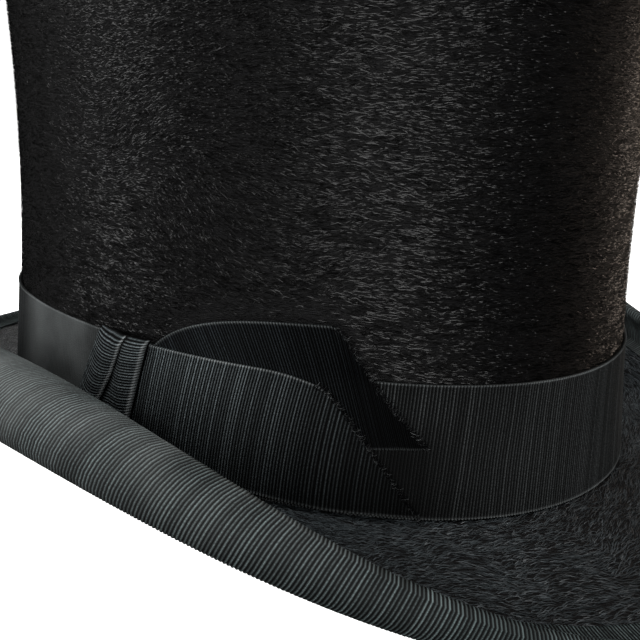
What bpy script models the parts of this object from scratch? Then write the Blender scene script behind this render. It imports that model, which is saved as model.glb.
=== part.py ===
"""A silk plush top hat: stiffened shells for crown, tip and brim, plush and cloth covers, a rolled
brim bound with ribbon, a ribbon band with a flat bow on the wearer's left, and a lining and a
leather sweatband inside.

Metres, +Z up. The front of the hat is -Y, the wearer's left is +X, and the brim's lowest points,
at its front and back, stand on z = 0.

Every wall of the hat is a stack of thin layers that never touch. A layer of the crown is given by
its depth inside the bow's outer face, and a layer of the brim by its height above the underside.
"""

import math

import bmesh
import bpy
from mathutils import Vector

STATIONS = 40  # sections round the oval; a multiple of 4 puts one on each axis
GAP = 0.0003  # clearance between two layers

# Crown. Its oval is measured on the bow's outer face at the waist.
OVAL_HALF_WIDTH = 0.0851
OVAL_HALF_LENGTH = 0.1031
CROWN_HEIGHT = 0.152  # from the brim up to the plush on the tip
WAIST_HEIGHT = 0.048  # the narrowest level
FOOT_FLARE = 0.00135  # how far the crown widens below the waist
BELL_FLARE = 0.0082  # how far it widens above it
SADDLE = 0.0042  # the crown's foot is this much higher at its sides
SADDLE_FADE = 3  # power of the height by which the saddle fades towards the flat tip

# Thickness of each layer, from the outside in
TAIL_RIBBON = 0.0005
BAND_RIBBON = 0.0006
CROWN_PLUSH = 0.0010
CROWN_SHELL = 0.0016
LINING_CLOTH = 0.0005
LEATHER = 0.0010
TIP_PLUSH = 0.0008
TIP_SHELL = 0.0016

# Brim layers, from the underside up
BINDING_RIBBON = 0.0004
UNDER_CLOTH = 0.0004
BRIM_SHELL = 0.0012
BRIM_PLUSH = 0.0005

# Brim shape. The roll is turned about a centre line, an oval above the brim's outer edge.
BRIM_DIP = 0.0114  # the brim's front and back hang this far below the crown's foot
SIDE_RISE = 0.0287  # the underside of the roll at the sides, above that at the front
SIDE_POWER = 3.54  # how quickly the sides rise from the flat front and back
ROLL_HALF_WIDTH = 0.1116
ROLL_HALF_LENGTH = 0.1467
ROLL_RADIUS_SIDE = 0.0089
ROLL_RADIUS_END = 0.0055
ROLL_TURN_SIDE = math.radians(185)
ROLL_TURN_END = math.radians(75)
ROLL_TURN_POWER = 0.7
BRIM_SLOPE_SIDE = math.radians(33)  # where the brim runs into the roll
BRIM_SLOPE_END = math.radians(-8)
FOOT_SLOPE_SIDE = math.radians(10)  # where it leaves the crown
FOOT_SLOPE_END = math.radians(-14)
INNER_SHARE_SIDE = 0.075  # share of the flat part where the brim shell's inner edge clears the crown
INNER_SHARE_END = 0.045
COLLAR_SHARE_SIDE = 0.125  # and where the plush clears the collar
COLLAR_SHARE_END = 0.07
FLAT_SHARES = (0.3, 0.6, 0.88)  # sections across the flat part, outside the collar
ROLL_STEPS = 6
COLLAR_HEIGHT = 0.013  # the strip that joins the brim shell to the crown shell

# Binding
BINDING_EDGE = FLAT_SHARES[-1]  # where both plies start on the flat part
NOSE_STEPS = 3

# Band and bow. Arc lengths run from the knot's rear edge towards the back of the hat.
BAND_HEIGHT = 0.031
BAND_FOOT = 0.0007
BOW_ANGLE = math.radians(14)
ARC_STEP = 0.00025
TAIL_START = -0.005
FRONT_TAIL_TOP = 0.0313
FRONT_TAIL_LENGTH = 0.0656
FRONT_CUT_START = 0.0420
BACK_TAIL_RISE = 0.0132  # how far the back tail's upper edge climbs over the band's
BACK_TAIL_RISE_LENGTH = 0.014
BACK_TAIL_LENGTH = 0.067
BACK_CUT_START = 0.0455
BACK_TAIL_LIFT = 0.22  # how far it leans off the plush above the band, per unit of height
TAIL_TIP_HEIGHT = 0.0009
TAIL_COLUMNS = 18
TAIL_ROWS = 4
TAIL_CREASE = 0.9  # the crease lies no higher than this share of a tail's depth
KNOT_TOP = 0.0323
KNOT_FOOT = 0.0024
KNOT_WIDTH = 0.0174
KNOT_FRONT_LEAN = 0.444  # how far the front edge moves forward per unit of drop
KNOT_REAR_LEAN = 0.24
KNOT_VALLEY = 0.575  # share of the width where the two pleats meet, at the top
KNOT_VALLEY_LEAN = 9.4  # how that share falls, per metre of drop
KNOT_RIBBON = 0.0009
KNOT_PLEAT = 0.0017
KNOT_COLUMNS = 14
KNOT_ROWS = 4

# Inside
SWEATBAND_HEIGHT = 0.044
LINING_FOOT = 0.006  # the lining's lower edge is tucked behind the sweatband
REED_RADIUS = 0.0009
REED_SIDES = 6
SWEAT_BOW_HALF_LENGTH = 0.011
SWEAT_BOW_HALF_HEIGHT = 0.0042
SWEAT_BOW_LEVEL = 0.008
SWEAT_BOW_THICK = 0.0012
SWEAT_BOW_COLUMNS = 12


def layers(*thicknesses):
    """The near and far face of each layer of a stack, measured from its first face."""
    faces = []
    near = 0.0
    for thickness in thicknesses:
        faces.append((near, near + thickness))
        near += thickness + GAP
    return faces


FRONT_TAIL_WALL, BACK_TAIL_WALL, BAND_WALL, PLUSH_WALL, SHELL_WALL, LINING_WALL, LEATHER_WALL = layers(
    TAIL_RIBBON, TAIL_RIBBON, BAND_RIBBON, CROWN_PLUSH, CROWN_SHELL, LINING_CLOTH, LEATHER
)
UNDER_PLY, CLOTH_PLY, BRIM_PLY, BRIM_PLUSH_PLY, UPPER_PLY = layers(
    BINDING_RIBBON, UNDER_CLOTH, BRIM_SHELL, BRIM_PLUSH, BINDING_RIBBON
)
BRIM_STACK = BRIM_PLUSH_PLY[1] + GAP  # from the underside up to the band's foot
SHELL_FOOT = BRIM_PLY[0] - BRIM_STACK + 2 * GAP  # clears the under cloth where the brim slopes up
TIP_LEVEL = CROWN_HEIGHT - TIP_PLUSH - TIP_SHELL - LINING_CLOTH - 3 * GAP  # everything above is flat


# ---------------------------------------------------------------- crown and brim surfaces


def blend(start, end, share):
    return start + (end - start) * share


def flare(height):
    """How far the crown's side stands out from the oval of its waist."""
    if height < WAIST_HEIGHT:
        return FOOT_FLARE * (1 - max(height, 0) / WAIST_HEIGHT) ** 2
    return BELL_FLARE * ((height - WAIST_HEIGHT) / (CROWN_HEIGHT - WAIST_HEIGHT)) ** 2


def crown_point(angle, height, depth):
    """A point of the crown's wall, at a height above its foot and a depth inside the bow's face."""
    out = flare(height) - depth
    fade = 1 - min(max(height, 0) / TIP_LEVEL, 1) ** SADDLE_FADE
    rise = SADDLE * math.cos(angle) ** 2 * fade
    return Vector((
        (OVAL_HALF_WIDTH + out) * math.cos(angle),
        (OVAL_HALF_LENGTH + out) * math.sin(angle),
        BRIM_DIP + height + rise,
    ))


def side_share(angle):
    """1 at the hat's two sides, 0 along its front and back."""
    return abs(math.cos(angle)) ** SIDE_POWER


def roll_frame(angle):
    """The roll's centre, outward direction, radius and starting slope at one section."""
    share = side_share(angle)
    radius = blend(ROLL_RADIUS_END, ROLL_RADIUS_SIDE, share)
    centre = Vector((
        ROLL_HALF_WIDTH * math.cos(angle),
        ROLL_HALF_LENGTH * math.sin(angle),
        SIDE_RISE * share + radius,
    ))
    outward = Vector((math.cos(angle) / ROLL_HALF_WIDTH, math.sin(angle) / ROLL_HALF_LENGTH, 0))
    return centre, outward.normalized(), radius, blend(BRIM_SLOPE_END, BRIM_SLOPE_SIDE, share)


def roll_point(angle, share, height):
    """A point of the rolled edge, at a share of its turn and a height above the underside."""
    centre, outward, radius, slope = roll_frame(angle)
    turn = blend(ROLL_TURN_END, ROLL_TURN_SIDE, side_share(angle) ** ROLL_TURN_POWER)
    direction = slope + turn * share
    spoke = outward * math.sin(direction) - Vector((0, 0, math.cos(direction)))
    return centre + spoke * (radius - height)


def flat_point(angle, share, height):
    """A point of the brim between the crown shell's inner face and the roll."""
    centre, outward, radius, slope = roll_frame(angle)
    start = crown_point(angle, 0, SHELL_WALL[1]) - Vector((0, 0, BRIM_STACK))
    end = roll_point(angle, 0, 0)
    chord = (end - start).length
    away = (end - start) * Vector((1, 1, 0))
    away.normalize()
    foot_slope = blend(FOOT_SLOPE_END, FOOT_SLOPE_SIDE, side_share(angle))
    leave = (away * math.cos(foot_slope) + Vector((0, 0, math.sin(foot_slope)))) * chord
    arrive = (outward * math.cos(slope) + Vector((0, 0, math.sin(slope)))) * chord
    s = share
    point = (
        start * (2 * s**3 - 3 * s**2 + 1)
        + leave * (s**3 - 2 * s**2 + s)
        + end * (3 * s**2 - 2 * s**3)
        + arrive * (s**3 - s**2)
    )
    along = (
        (start - end) * (6 * s**2 - 6 * s)
        + leave * (3 * s**2 - 4 * s + 1)
        + arrive * (3 * s**2 - 2 * s)
    )
    level = Vector((along.x, along.y, 0))
    across = level.normalized() * -along.z + Vector((0, 0, level.length))
    return point + across.normalized() * height


def brim_point(angle, share, height):
    """A point of the brim. Shares 0 to 1 lie on its flat part, and 1 to 2 on the roll."""
    if share <= 1:
        return flat_point(angle, share, height)
    return roll_point(angle, share - 1, height)


def roll_shares():
    return [1 + i / ROLL_STEPS for i in range(ROLL_STEPS + 1)]


def brim_shares(angle):
    """The sections of the brim from the collar out to the end of the roll."""
    collar = blend(COLLAR_SHARE_END, COLLAR_SHARE_SIDE, side_share(angle))
    return [collar, *FLAT_SHARES, *roll_shares()]


def angle_at(start, distance):
    """The oval's angle at an arc length from a starting angle."""
    angle = start
    steps = max(1, round(abs(distance) / ARC_STEP))
    for _ in range(steps):
        speed = math.hypot(OVAL_HALF_WIDTH * math.sin(angle), OVAL_HALF_LENGTH * math.cos(angle))
        angle += distance / steps / speed
    return angle


# ---------------------------------------------------------------- solids


def finish(name, bm, material):
    bmesh.ops.recalc_face_normals(bm, faces=bm.faces)
    mesh = bpy.data.meshes.new(name)
    bm.to_mesh(mesh)
    bm.free()
    mesh.shade_smooth()
    mesh.set_sharp_from_angle(angle=math.radians(40))
    mesh.materials.append(material)
    piece = bpy.data.objects.new(name, mesh)
    bpy.context.scene.collection.objects.link(piece)
    return piece


def forth(points):
    """Part of a section that runs outwards or upwards, as (point, True) pairs."""
    return [(point, True) for point in points]


def back(points):
    """The same points on the section's way back. Walls that face each other are then split into
    triangles along the same diagonals, so that their gap holds where they twist."""
    return [(point, False) for point in reversed(points)]


def join_sections(bm, first, second):
    """Triangles between two closed sections, each a list of (vertex, runs forth) pairs."""
    for j, (vertex, runs_forth) in enumerate(first):
        k = (j + 1) % len(first)
        corners = (vertex, first[k][0], second[k][0], second[j][0])
        turned = corners if runs_forth else corners[1:] + corners[:1]
        bm.faces.new((turned[0], turned[1], turned[2]))
        bm.faces.new((turned[0], turned[2], turned[3]))


def add_sections(bm, sections):
    rings = []
    for section in sections:
        rings.append([(bm.verts.new(point), runs_forth) for point, runs_forth in section])
    return rings


def ring_solid(name, section, material):
    """A solid that runs all round the oval. section(angle) gives its closed section."""
    bm = bmesh.new()
    rings = add_sections(bm, [section(math.tau * i / STATIONS) for i in range(STATIONS)])
    for first, second in zip(rings, rings[1:] + rings[:1]):
        join_sections(bm, first, second)
    return finish(name, bm, material)


def strip_solid(name, sections, material):
    """A solid through a row of closed sections, with a cap at each end."""
    bm = bmesh.new()
    rings = add_sections(bm, sections)
    for first, second in zip(rings, rings[1:]):
        join_sections(bm, first, second)
    for ring in (rings[0], rings[-1]):
        bm.faces.new([vertex for vertex, _ in ring])
    return finish(name, bm, material)


def disc_solid(name, levels, material):
    """A flat oval piece of the tip. levels lists its edge's (height, depth) from the bottom up."""
    sections = []
    for height, depth in levels:
        angles = [math.tau * i / STATIONS for i in range(STATIONS)]
        sections.append(forth([crown_point(angle, height, depth) for angle in angles]))
    return strip_solid(name, sections, material)


def wall_section(angle, foot, top, wall, rows):
    """A closed section of one layer of the crown's wall."""
    heights = [blend(foot, top, i / rows) for i in range(rows + 1)]
    outer = [crown_point(angle, height, wall[0]) for height in heights]
    inner = [crown_point(angle, height, wall[1]) for height in heights]
    return forth(outer) + back(inner)


# ---------------------------------------------------------------- sub-parts


def make_crown_shell(material):
    return ring_solid(
        "crown_shell",
        lambda angle: wall_section(angle, SHELL_FOOT, TIP_LEVEL + LINING_CLOTH + GAP, SHELL_WALL, 5),
        material,
    )


def make_tip_shell(material):
    bottom = TIP_LEVEL + LINING_CLOTH + 2 * GAP
    return disc_solid(
        "tip_shell", [(bottom, SHELL_WALL[0]), (bottom + TIP_SHELL, SHELL_WALL[0])], material
    )


def make_crown_plush(material):
    top = CROWN_HEIGHT - TIP_PLUSH - GAP
    return ring_solid(
        "crown_plush",
        lambda angle: wall_section(angle, COLLAR_HEIGHT + GAP, top, PLUSH_WALL, 5),
        material,
    )


def make_tip_plush(material):
    bevel = TIP_PLUSH / 2
    levels = [
        (CROWN_HEIGHT - TIP_PLUSH, PLUSH_WALL[0]),
        (CROWN_HEIGHT - bevel, PLUSH_WALL[0]),
        (CROWN_HEIGHT, PLUSH_WALL[0] + bevel),
    ]
    return disc_solid("tip_plush", levels, material)


def make_brim_collar(material):
    """The upright strip that joins the brim shell to the foot of the crown shell."""
    return ring_solid(
        "brim_collar", lambda angle: wall_section(angle, 0, COLLAR_HEIGHT, PLUSH_WALL, 2), material
    )


def make_brim_layer(name, ply, inner_shares, material):
    """A layer of the brim out to the end of the roll. inner_shares(angle) lie inside the collar."""

    def section(angle):
        shares = [*inner_shares(angle), *brim_shares(angle)]
        lower = [brim_point(angle, share, ply[0]) for share in shares]
        upper = [brim_point(angle, share, ply[1]) for share in shares]
        return forth(lower) + back(upper)

    return ring_solid(name, section, material)


def make_brim_binding(material):
    """A ribbon folded over the brim's edge, with one ply under the brim and one on top."""

    def nose(angle, radius):
        """A half circle of the fold, from the under ply round to the upper ply."""
        middle = (UNDER_PLY[0] + UPPER_PLY[1]) / 2
        base = roll_point(angle, 1, middle)
        across = (roll_point(angle, 1, middle + radius) - base).normalized()
        ahead = (roll_point(angle, 1, middle) - roll_point(angle, 0.98, middle)).normalized()
        points = []
        for i in range(NOSE_STEPS + 1):
            turn = math.pi * i / NOSE_STEPS - math.pi / 2
            points.append(base + (ahead * math.cos(turn) + across * math.sin(turn)) * radius)
        return points

    def section(angle):
        shares = [BINDING_EDGE, *roll_shares()[:-1]]
        half = (UPPER_PLY[1] - UNDER_PLY[0]) / 2
        return [
            *forth([brim_point(angle, share, UNDER_PLY[0]) for share in shares]),
            *forth(nose(angle, half)),
            *back([brim_point(angle, share, UPPER_PLY[1]) for share in shares]),
            *forth([brim_point(angle, share, UPPER_PLY[0]) for share in shares]),
            *back(nose(angle, half - BINDING_RIBBON)),
            *back([brim_point(angle, share, UNDER_PLY[1]) for share in shares]),
        ]

    return ring_solid("brim_binding", section, material)


def make_hat_band(material):
    return ring_solid(
        "hat_band",
        lambda angle: wall_section(angle, BAND_FOOT, BAND_HEIGHT, BAND_WALL, 2),
        material,
    )


def make_tail(name, length, lower, upper, wall, lift, material):
    """A ribbon end laid on the band. lower and upper give its edges' heights by arc length, and
    above the crease lift(height) leans it off the crown."""
    sections = []
    for i in range(TAIL_COLUMNS + 1):
        distance = blend(TAIL_START, length, i / TAIL_COLUMNS)
        angle = angle_at(BOW_ANGLE, distance)
        foot = lower(distance)
        top = max(upper(distance), foot + TAIL_TIP_HEIGHT)
        crease = min(FRONT_TAIL_TOP + GAP, blend(foot, top, TAIL_CREASE))
        heights = [blend(foot, crease, j / (TAIL_ROWS - 1)) for j in range(TAIL_ROWS)] + [top]
        outer = [crown_point(angle, h, wall[0] - lift(h)) for h in heights]
        inner = [crown_point(angle, h, wall[1] - lift(h)) for h in heights]
        sections.append(forth(outer) + back(inner))
    return strip_solid(name, sections, material)


def make_front_tail(material):
    """The outer tail, as deep as the band, with a slanting cut end."""

    def lower(distance):
        return max(0.0009, 0.0042 - 0.07 * distance)

    def upper(distance):
        share = (FRONT_TAIL_LENGTH - distance) / (FRONT_TAIL_LENGTH - FRONT_CUT_START)
        return FRONT_TAIL_TOP * min(1, share)

    return make_tail(
        "bow_front_tail", FRONT_TAIL_LENGTH, lower, upper, FRONT_TAIL_WALL, lambda h: 0, material
    )


def make_back_tail(material):
    """The tail behind it. It climbs over the band's upper edge and leans off the plush."""
    tip_height = 0.0165

    def climb(distance, length):
        return 1 - math.exp(-max(distance, 0) / length)

    def lower(distance):
        return blend(0.0035, tip_height, climb(distance, 0.018))

    def upper(distance):
        edge = BAND_HEIGHT + BACK_TAIL_RISE * climb(distance, BACK_TAIL_RISE_LENGTH)
        share = (BACK_TAIL_LENGTH - distance) / (BACK_TAIL_LENGTH - BACK_CUT_START)
        return min(edge, blend(tip_height, BAND_HEIGHT + BACK_TAIL_RISE, share))

    def lift(height):
        return BACK_TAIL_LIFT * max(0, height - FRONT_TAIL_TOP - GAP)

    return make_tail(
        "bow_back_tail", BACK_TAIL_LENGTH, lower, upper, BACK_TAIL_WALL, lift, material
    )


def make_bow_knot(material):
    """Two pleats of ribbon across the band, which cover the ends of the two tails."""

    def pleat(share, valley):
        """0 at each edge and in the valley, and 1 on each pleat."""
        if share < valley:
            return math.sin(math.pi * share / valley) ** 0.5
        return max(0, math.sin(math.pi * (share - valley) / (1 - valley))) ** 0.5

    sections = []
    for i in range(KNOT_COLUMNS + 1):
        share = i / KNOT_COLUMNS
        outer = []
        inner = []
        for j in range(KNOT_ROWS + 1):
            height = blend(KNOT_FOOT, KNOT_TOP, j / KNOT_ROWS)
            drop = KNOT_TOP - height
            front_edge = -KNOT_WIDTH - KNOT_FRONT_LEAN * drop
            distance = blend(front_edge, -KNOT_REAR_LEAN * drop, share)
            angle = angle_at(BOW_ANGLE, distance)
            over_tails = min(max((distance - 2 * TAIL_START) / -TAIL_START + 0.5, 0), 1)
            bed = blend(BACK_TAIL_WALL[1], -GAP, over_tails)
            swell = KNOT_PLEAT * pleat(share, KNOT_VALLEY - KNOT_VALLEY_LEAN * drop)
            outer.append(crown_point(angle, height, bed - KNOT_RIBBON - swell))
            inner.append(crown_point(angle, height, bed))
        sections.append(forth(outer) + back(inner))
    return strip_solid("bow_knot", sections, material)


def make_lining_side(material):
    return ring_solid(
        "lining_side",
        lambda angle: wall_section(angle, LINING_FOOT, TIP_LEVEL - GAP, LINING_WALL, 4),
        material,
    )


def make_lining_tip(material):
    levels = [(TIP_LEVEL, LINING_WALL[0]), (TIP_LEVEL + LINING_CLOTH, LINING_WALL[0])]
    return disc_solid("lining_tip", levels, material)


def make_sweatband(material):
    foot = UNDER_PLY[1] - BRIM_STACK
    return ring_solid(
        "sweatband",
        lambda angle: wall_section(angle, foot, SWEATBAND_HEIGHT, LEATHER_WALL, 2),
        material,
    )


def make_sweatband_reed(material):
    """The thin cord along the sweatband's lower edge, by which it is sewn to the brim."""
    level = UNDER_PLY[1] - BRIM_STACK - GAP - REED_RADIUS
    middle = (LEATHER_WALL[0] + LEATHER_WALL[1]) / 2

    def section(angle):
        points = []
        for i in range(REED_SIDES):
            turn = math.tau * i / REED_SIDES
            height = level + REED_RADIUS * math.sin(turn)
            points.append(crown_point(angle, height, middle + REED_RADIUS * math.cos(turn)))
        return forth(points)

    return ring_solid("sweatband_reed", section, material)


def make_sweatband_bow(material):
    """The small flat bow sewn over the sweatband's joint, at the back of the head opening."""
    sections = []
    for i in range(SWEAT_BOW_COLUMNS + 1):
        share = 2 * i / SWEAT_BOW_COLUMNS - 1
        loop = math.sin(math.pi * min(abs(share), 0.9)) ** 0.7
        half = SWEAT_BOW_HALF_HEIGHT * (0.35 + 0.65 * loop)
        thick = SWEAT_BOW_THICK * (1 - 0.5 * abs(share))
        angle = angle_at(math.pi / 2, share * SWEAT_BOW_HALF_LENGTH)
        near = LEATHER_WALL[1] + 2 * GAP
        sections.append(forth([
            crown_point(angle, SWEAT_BOW_LEVEL - half, near),
            crown_point(angle, SWEAT_BOW_LEVEL + half, near),
            crown_point(angle, SWEAT_BOW_LEVEL + half * 0.8, near + thick),
            crown_point(angle, SWEAT_BOW_LEVEL - half * 0.8, near + thick),
        ]))
    return strip_solid("sweatband_bow", sections, material)


# ---------------------------------------------------------------- materials and assembly


def make_material(name, colour, roughness):
    material = bpy.data.materials.new(name)
    material.use_nodes = True
    shader = material.node_tree.nodes["Principled BSDF"]
    shader.inputs["Base Color"].default_value = (*colour, 1)
    shader.inputs["Roughness"].default_value = roughness
    shader.inputs["Metallic"].default_value = 0
    return material


def clear_scene():
    for piece in list(bpy.data.objects):
        bpy.data.objects.remove(piece)


def main():
    clear_scene()
    goss_brown = (0.20, 0.12, 0.05)
    plush_black = (0.012, 0.012, 0.013)
    ribbon_black = (0.020, 0.023, 0.024)
    make_crown_shell(make_material("crown_goss", goss_brown, 0.6))
    make_tip_shell(make_material("tip_goss", goss_brown, 0.6))
    make_brim_collar(make_material("collar_goss", goss_brown, 0.6))
    make_brim_layer(
        "brim_shell",
        BRIM_PLY,
        lambda angle: [blend(INNER_SHARE_END, INNER_SHARE_SIDE, side_share(angle))],
        make_material("brim_goss", goss_brown, 0.6),
    )
    make_crown_plush(make_material("crown_silk_plush", plush_black, 0.45))
    make_tip_plush(make_material("tip_silk_plush", plush_black, 0.45))
    make_brim_layer(
        "brim_top_plush",
        BRIM_PLUSH_PLY,
        lambda angle: [],
        make_material("brim_silk_plush", plush_black, 0.5),
    )
    make_brim_layer(
        "brim_under_cloth",
        CLOTH_PLY,
        lambda angle: [0],
        make_material("under_cloth", (0.015, 0.015, 0.016), 0.9),
    )
    make_brim_binding(make_material("binding_ribbon", (0.035, 0.040, 0.040), 0.6))
    make_hat_band(make_material("band_ribbon", ribbon_black, 0.6))
    make_back_tail(make_material("back_tail_ribbon", ribbon_black, 0.6))
    make_front_tail(make_material("front_tail_ribbon", ribbon_black, 0.6))
    make_bow_knot(make_material("knot_ribbon", ribbon_black, 0.6))
    make_lining_side(make_material("lining_satin", (0.72, 0.68, 0.58), 0.4))
    make_lining_tip(make_material("lining_tip_satin", (0.72, 0.68, 0.58), 0.4))
    make_sweatband(make_material("sweatband_leather", (0.30, 0.15, 0.07), 0.55))
    make_sweatband_reed(make_material("reed_cover", (0.28, 0.14, 0.07), 0.6))
    make_sweatband_bow(make_material("sweatband_bow_ribbon", ribbon_black, 0.5))


main()
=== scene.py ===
"""The looks of the silk plush top hat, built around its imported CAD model.

Metres, in the CAD's frame: +Z up, the front of the hat at -Y and the bow on its +X side. As in the
CAD, a layer of the crown is given by its depth inside the bow's outer face, and a layer of the brim
by its height above the brim's underside. Arc lengths on the crown run from the knot's rear edge
towards the back of the hat, and those on the brim from its front towards the bow's side.
"""

import math
from typing import Callable, NamedTuple

import bpy
import numpy as np
from mathutils import Matrix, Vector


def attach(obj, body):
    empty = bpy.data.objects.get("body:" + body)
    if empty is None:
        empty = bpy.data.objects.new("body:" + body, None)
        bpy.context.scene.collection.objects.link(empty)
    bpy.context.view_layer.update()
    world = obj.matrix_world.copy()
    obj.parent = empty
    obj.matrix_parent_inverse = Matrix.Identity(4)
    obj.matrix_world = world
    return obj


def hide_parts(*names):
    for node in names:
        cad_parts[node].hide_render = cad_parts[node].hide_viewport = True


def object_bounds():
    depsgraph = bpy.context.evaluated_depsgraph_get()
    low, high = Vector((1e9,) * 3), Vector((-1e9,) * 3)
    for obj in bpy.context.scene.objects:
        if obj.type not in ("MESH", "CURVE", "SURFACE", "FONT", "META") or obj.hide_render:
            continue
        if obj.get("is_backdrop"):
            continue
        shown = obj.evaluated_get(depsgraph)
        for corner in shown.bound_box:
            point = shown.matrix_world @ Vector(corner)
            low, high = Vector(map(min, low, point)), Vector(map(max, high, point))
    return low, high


# ---------------------------------------------------------------- the CAD's driving dimensions

OVAL_HALF_WIDTH = 0.0851
OVAL_HALF_LENGTH = 0.1031
CROWN_HEIGHT = 0.152
WAIST_HEIGHT = 0.048
FOOT_FLARE = 0.00135
BELL_FLARE = 0.0082
SADDLE = 0.0042
SADDLE_FADE = 3
TIP_LEVEL = 0.1482

BRIM_DIP = 0.0114
SIDE_RISE = 0.0287
SIDE_POWER = 3.54
ROLL_HALF_WIDTH = 0.1116
ROLL_HALF_LENGTH = 0.1467
ROLL_RADIUS_SIDE = 0.0089
ROLL_RADIUS_END = 0.0055
ROLL_TURN_SIDE = math.radians(185)
ROLL_TURN_END = math.radians(75)
ROLL_TURN_POWER = 0.7
BRIM_SLOPE_SIDE = math.radians(33)
BRIM_SLOPE_END = math.radians(-8)
FOOT_SLOPE_SIDE = math.radians(10)
FOOT_SLOPE_END = math.radians(-14)
COLLAR_HEIGHT = 0.013
BINDING_EDGE = 0.88  # share of the flat part of the brim where the binding starts

BAND_FOOT = 0.0007
BAND_HEIGHT = 0.031
BOW_ANGLE = math.radians(14)
TAIL_START = -0.005
FRONT_TAIL_TOP = 0.0313
FRONT_TAIL_LENGTH = 0.0656
FRONT_CUT_START = 0.0420
BACK_TAIL_RISE = 0.0132
BACK_TAIL_RISE_LENGTH = 0.014
BACK_TAIL_LENGTH = 0.067
BACK_CUT_START = 0.0455
BACK_TAIL_TIP = 0.0165
BACK_TAIL_LIFT = 0.22
KNOT_TOP = 0.0323
KNOT_FOOT = 0.0024
KNOT_WIDTH = 0.0174
KNOT_FRONT_LEAN = 0.444
KNOT_REAR_LEAN = 0.24
KNOT_VALLEY = 0.575
KNOT_VALLEY_LEAN = 9.4
KNOT_RIBBON = 0.0009
KNOT_PLEAT = 0.0017

SWEATBAND_HEIGHT = 0.044
SWEAT_BOW_LEVEL = 0.008
SWEAT_BOW_HALF_LENGTH = 0.011
SWEAT_BOW_HALF_HEIGHT = 0.0042
LINING_FOOT = 0.006
REED_RADIUS = 0.0009

# Near and far face of each layer: crown depths, then brim heights
FRONT_TAIL_WALL = (0.0, 0.0005)
BACK_TAIL_WALL = (0.0008, 0.0013)
BAND_WALL = (0.0016, 0.0022)
PLUSH_WALL = (0.0025, 0.0035)
LINING_WALL = (0.0058, 0.0062)
LEATHER_WALL = (0.0065, 0.0075)
UNDER_PLY = (0.0, 0.0004)
CLOTH_PLY = (0.0007, 0.0011)
BRIM_PLUSH_PLY = (0.0029, 0.0034)
UPPER_PLY = (0.0037, 0.0041)
BRIM_STACK = 0.0037
GAP = 0.0003

# ---------------------------------------------------------------- details that only the looks have

BAND_RIB_PITCH = 0.00080
TAIL_RIB_PITCH = 0.00070
KNOT_RIB_PITCH = 0.00074
BINDING_RIB_PITCH = 0.00084
BINDING_BIAS = 0.42  # how far the binding's ribs run on round the hat, per unit of their length
RIB_DEPTH = 0.00042
BINDING_RIB_DEPTH = 0.00021
RIB_SINK = 0.00018  # how far the furrows lie below the ribbon's flat face
RIB_ROUND = 0.75  # power of the sine across one rib
RIB_PHASES = (0.0, 0.25, 0.5, 0.75)
FINE_PHASES = (0.0, 0.125, 0.25, 0.5, 0.75, 0.875)
RIB_STRENGTHS = (0.90, 1.04)  # least and most height of a rib, as a share of the depth above
RIB_SHARPNESS = 7  # power of a rib's height by which its colour rises from the furrow's painted shade to the crest
SELVEDGE_WIDTH = 0.00045
SELVEDGE_BEAD = 0.00024
BAND_FOOT_END = -0.0006  # the band's foot follows the brim down at the front and back
FLAT_SHEEN_PLACE = 0.045  # how far ahead of the knot the band's ribs are pressed flat and lightened with a painted sheen
TAIL_SHADOW_PLACE = 0.060  # arc at which the tails' ends cast a painted shadow on the band
BRIM_CLOTH_WIDTH = 0.03  # of the brim's flat part, for its cloth's pattern
BINDING_CLOTH_WIDTH = 0.022  # likewise for the binding, per unit of share

COVER_TOP = 0.1509  # height above the crown's foot, as are the next two
NAP_TOP = 0.1505
TIP_EDGE = 0.1512
CROWN_HAIRS = 260000
CROWN_NAP_PIECES = 5
TIP_HAIRS = 42000
BRIM_HAIRS = 48000
FRAYED_THREADS = 800
PATCH_LATTICE = 256  # steps of smooth random values before they repeat
TIP_RADIUS = 0.095  # a middling one, for the tip's pattern

# Least and most length, width and lift of each kind of hair
CROWN_HAIR = (0.0010, 0.0028), (0.00006, 0.00013), (0.0001, 0.0006)
TIP_HAIR = (0.0020, 0.0046), (0.00009, 0.00021), (0.0001, 0.0004)
BRIM_HAIR = (0.0014, 0.0032), (0.00008, 0.00018), (0.0001, 0.00045)
FRAY_HAIR = (0.0005, 0.0017), (0.00005, 0.00010), (0.0001, 0.0008)

SWIRLS = (  # arc, height, radius and turn of the crown's patches that are brushed another way
    (0.010, 0.062, 0.013, -0.55),
    (-0.008, 0.083, 0.012, 0.6),
    (0.040, 0.058, 0.009, 0.3),
    (-0.120, 0.070, 0.014, 0.8),
    (-0.210, 0.090, 0.012, -0.7),
    (0.180, 0.075, 0.012, 0.7),
)

JET = (0.0001, 0.0001, 0.0001)

FLOOR_RADIUS = 0.95
FLOOR_GLOW = 0.75
ROOM_LIGHT = 0.03
BACKDROP_LIGHT = 1.05

CAMERA_AZIMUTH = math.radians(41.0)
CAMERA_ELEVATION = math.radians(8.095)
CAMERA_ROLL = math.radians(2.088)
CAMERA_DISTANCE = 0.2729
CAMERA_TARGET = np.array([0.0, 0.0, 0.0714])
CAMERA_LENS = 47.2
CAMERA_SHIFT = (0.0210, -0.1878)

LIGHTS_LEVEL = 0.08  # height of the point that the lights face
LIGHTS = (  # name, azimuth, elevation, distance, (width, height), watts and colour
    ("key_light", 33, 12, 1.3, (1.1, 1.1), 42, (1, 1, 1)),
    ("left_light", -48, 12, 1.3, (0.5, 1.1), 14, (1, 1, 1)),
    ("top_light", 60, 78, 1.3, (0.5, 0.5), 22, (1, 1, 1)),
    ("warm_rim", 148, 8, 1.2, (0.2, 0.9), 5, (1.0, 0.82, 0.68)),
    ("far_light", 222, 14, 1.3, (0.8, 1.0), 12, (1, 1, 1)),
)


# ---------------------------------------------------------------- surfaces of the hat


def mix(start, end, share):
    return start + (end - start) * share


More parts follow.
